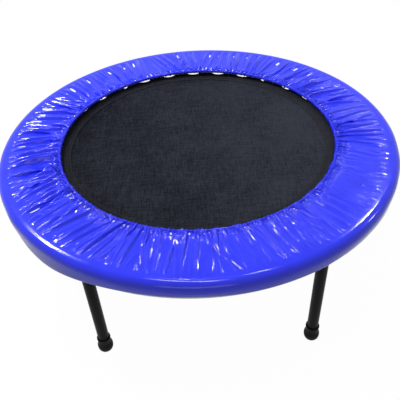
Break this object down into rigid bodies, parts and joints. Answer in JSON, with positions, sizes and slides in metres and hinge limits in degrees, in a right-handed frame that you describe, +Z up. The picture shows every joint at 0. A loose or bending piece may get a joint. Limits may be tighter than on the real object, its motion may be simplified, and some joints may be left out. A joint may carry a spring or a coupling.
{
  "type": "mini trampoline",
  "caption": "Round mini trampoline: woven mat on springs in a steel ring, under a gathered glossy blue cover, on short black screw-on legs with rubber feet.",
  "frame": {"origin": "on the floor under the middle of the mat", "axes": "+Z up out of the mat, +X through the first leg, -Y towards the front"},
  "size_m": [0.9999, 1, 0.3],
  "materials": {
    "black_steel": "satin black powder coat",
    "zinc_steel": "bright zinc plate",
    "black_rubber": "matte moulded rubber",
    "woven_mesh": "plain woven polypropylene mesh",
    "webbing": "close woven webbing",
    "thread": "twisted thread",
    "foam": "closed cell foam",
    "vinyl_cover": "glossy vinyl sheet",
    "elastic": "woven elastic"
  },
  "bodies": {
    "frame": {"frame_ring": "black_steel", "leg_boss_1": "black_steel", "leg_boss_2": "black_steel", "leg_boss_3": "black_steel", "leg_boss_4": "black_steel", "leg_boss_5": "black_steel", "leg_boss_6": "black_steel", "leg_stud_1": "zinc_steel", "leg_stud_2": "zinc_steel", "leg_stud_3": "zinc_steel", "leg_stud_4": "zinc_steel", "leg_stud_5": "zinc_steel", "leg_stud_6": "zinc_steel", "springs_1": "zinc_steel", "springs_2": "zinc_steel", "springs_3": "zinc_steel", "springs_4": "zinc_steel", "springs_5": "zinc_steel", "springs_6": "zinc_steel", "foam_pad": "foam", "pad_cover": "vinyl_cover", "inner_elastic": "elastic", "outer_elastic": "elastic"},
    "mat": {"mat_mesh": "woven_mesh", "edge_band": "webbing", "edge_stitching": "thread", "triangle_rings": "zinc_steel"},
    "leg_collar_1": {"leg_washer_1": "black_rubber"},
    "leg_1": {"leg_insert_1": "zinc_steel", "leg_tube_1": "black_steel", "rubber_foot_1": "black_rubber"},
    "leg_collar_2": {"leg_washer_2": "black_rubber"},
    "leg_2": {"leg_insert_2": "zinc_steel", "leg_tube_2": "black_steel", "rubber_foot_2": "black_rubber"},
    "leg_collar_3": {"leg_washer_3": "black_rubber"},
    "leg_3": {"leg_insert_3": "zinc_steel", "leg_tube_3": "black_steel", "rubber_foot_3": "black_rubber"},
    "leg_collar_4": {"leg_washer_4": "black_rubber"},
    "leg_4": {"leg_insert_4": "zinc_steel", "leg_tube_4": "black_steel", "rubber_foot_4": "black_rubber"},
    "leg_collar_5": {"leg_washer_5": "black_rubber"},
    "leg_5": {"leg_insert_5": "zinc_steel", "leg_tube_5": "black_steel", "rubber_foot_5": "black_rubber"},
    "leg_collar_6": {"leg_washer_6": "black_rubber"},
    "leg_6": {"leg_insert_6": "zinc_steel", "leg_tube_6": "black_steel", "rubber_foot_6": "black_rubber"}
  },
  "joints": [
    {"name": "mat_bounce", "type": "slide", "parent": "frame", "child": "mat", "axis": [0, 0, 1], "range_m": [-0.06, 0], "stiffness_N_per_m": 8000, "springref_m": 0.004, "deforming": ["springs_1", "springs_2", "springs_3", "springs_4", "springs_5", "springs_6"]},
    {"name": "leg_1_drop", "type": "slide", "parent": "frame", "child": "leg_collar_1", "axis": [0, 0, -1], "range_m": [0, 0.0181]},
    {"name": "leg_1_screw", "type": "hinge", "parent": "leg_collar_1", "child": "leg_1", "pos_m": [0.48, 0, 0.2615], "axis": [0, 0, -1], "range_deg": [0, 4320]},
    {"name": "leg_2_drop", "type": "slide", "parent": "frame", "child": "leg_collar_2", "axis": [0, 0, -1], "range_m": [0, 0.0181]},
    {"name": "leg_2_screw", "type": "hinge", "parent": "leg_collar_2", "child": "leg_2", "pos_m": [0.24, 0.41569, 0.2615], "axis": [0, 0, -1], "range_deg": [0, 4320]},
    {"name": "leg_3_drop", "type": "slide", "parent": "frame", "child": "leg_collar_3", "axis": [0, 0, -1], "range_m": [0, 0.0181]},
    {"name": "leg_3_screw", "type": "hinge", "parent": "leg_collar_3", "child": "leg_3", "pos_m": [-0.24, 0.41569, 0.2615], "axis": [0, 0, -1], "range_deg": [0, 4320]},
    {"name": "leg_4_drop", "type": "slide", "parent": "frame", "child": "leg_collar_4", "axis": [0, 0, -1], "range_m": [0, 0.0181]},
    {"name": "leg_4_screw", "type": "hinge", "parent": "leg_collar_4", "child": "leg_4", "pos_m": [-0.48, 0, 0.2615], "axis": [0, 0, -1], "range_deg": [0, 4320]},
    {"name": "leg_5_drop", "type": "slide", "parent": "frame", "child": "leg_collar_5", "axis": [0, 0, -1], "range_m": [0, 0.0181]},
    {"name": "leg_5_screw", "type": "hinge", "parent": "leg_collar_5", "child": "leg_5", "pos_m": [-0.24, -0.41569, 0.2615], "axis": [0, 0, -1], "range_deg": [0, 4320]},
    {"name": "leg_6_drop", "type": "slide", "parent": "frame", "child": "leg_collar_6", "axis": [0, 0, -1], "range_m": [0, 0.0181]},
    {"name": "leg_6_screw", "type": "hinge", "parent": "leg_collar_6", "child": "leg_6", "pos_m": [0.24, -0.41569, 0.2615], "axis": [0, 0, -1], "range_deg": [0, 4320]}
  ],
  "couplings": [
    {"joint": "leg_1_drop", "follows": "leg_1_screw", "m_per_rad": 0.00023873},
    {"joint": "leg_2_drop", "follows": "leg_2_screw", "m_per_rad": 0.00023873},
    {"joint": "leg_3_drop", "follows": "leg_3_screw", "m_per_rad": 0.00023873},
    {"joint": "leg_4_drop", "follows": "leg_4_screw", "m_per_rad": 0.00023873},
    {"joint": "leg_5_drop", "follows": "leg_5_screw", "m_per_rad": 0.00023873},
    {"joint": "leg_6_drop", "follows": "leg_6_screw", "m_per_rad": 0.00023873}
  ]
}
